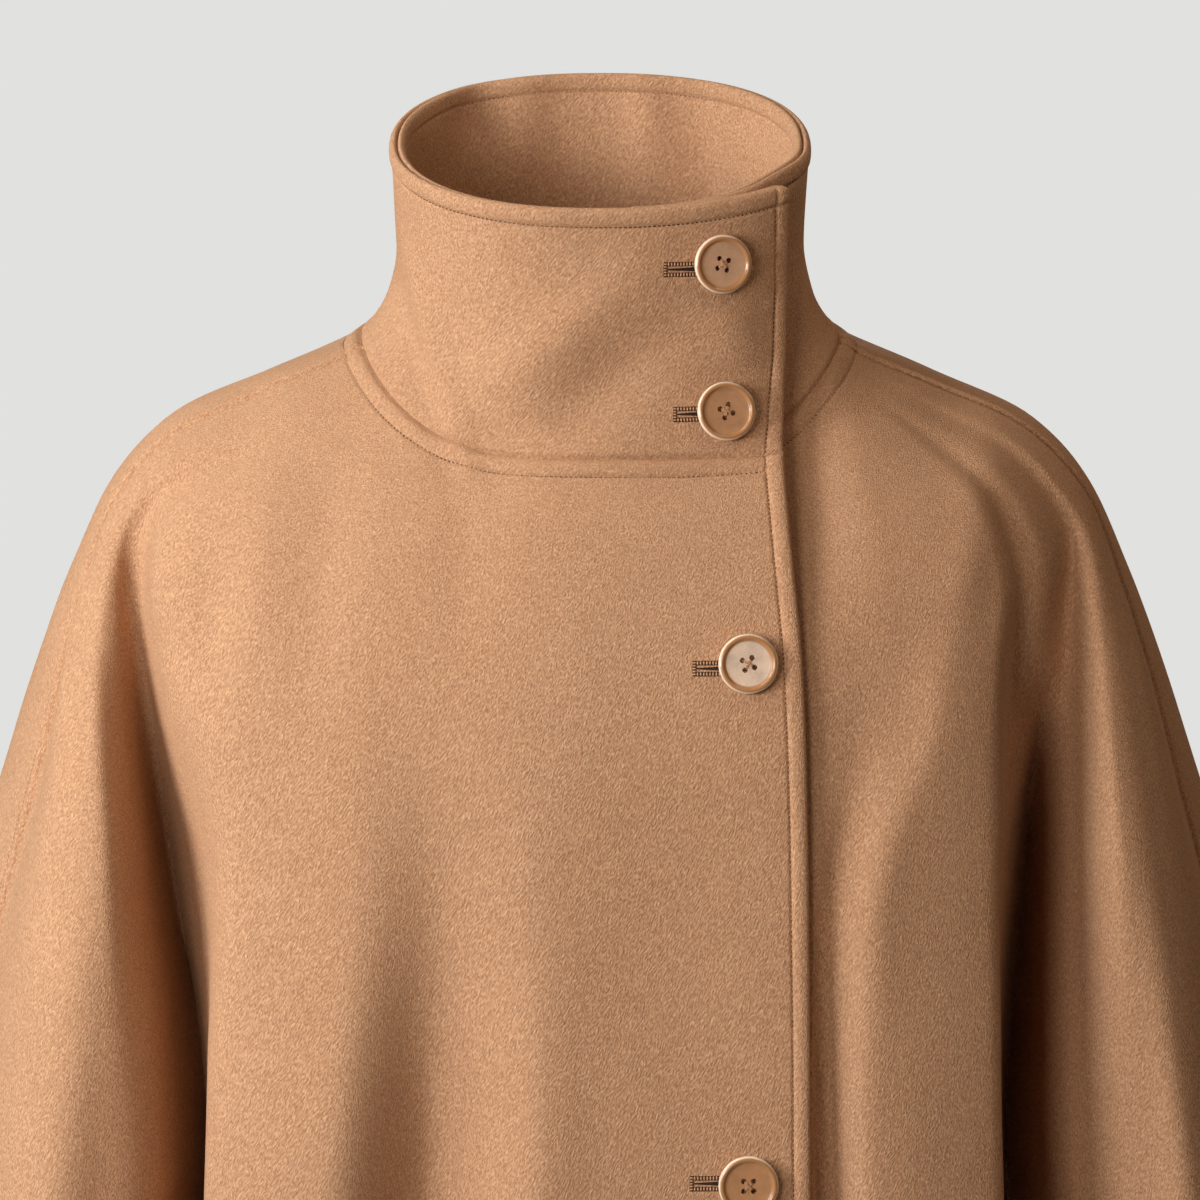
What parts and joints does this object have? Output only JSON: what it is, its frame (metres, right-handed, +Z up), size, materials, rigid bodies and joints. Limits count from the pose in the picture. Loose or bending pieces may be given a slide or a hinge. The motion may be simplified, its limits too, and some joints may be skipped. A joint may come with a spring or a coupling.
{
  "type": "wool cape",
  "caption": "Hollow camel wool cape with a tall funnel collar, an overlapping off-centre buttoned front and soft folds that fall to an open hem.",
  "frame": {"origin": "midway between the two points where the collar meets the shoulder seams, which is where the wearer carries the cape", "axes": "+Z up, the front of the cape faces -Y, and the wearer's left is +X"},
  "size_m": [0.8544, 0.4598, 0.8677],
  "materials": {
    "front_right": "matt felted wool with a short nap",
    "front_left": "matt felted wool with a short nap",
    "back": "matt felted wool with a short nap",
    "collar": "matt felted wool with a short nap",
    "collar_inner": "matt felted wool with a short nap",
    "button": "horn-coloured resin, a glossy rim round a matt face"
  },
  "bodies": {
    "root": {"front_right": "front_right", "front_left": "front_left", "back": "back", "collar_outer": "collar", "collar_inner": "collar_inner", "button_1": "button", "button_2": "button", "button_3": "button", "button_4": "button"}
  },
  "joints": []
}
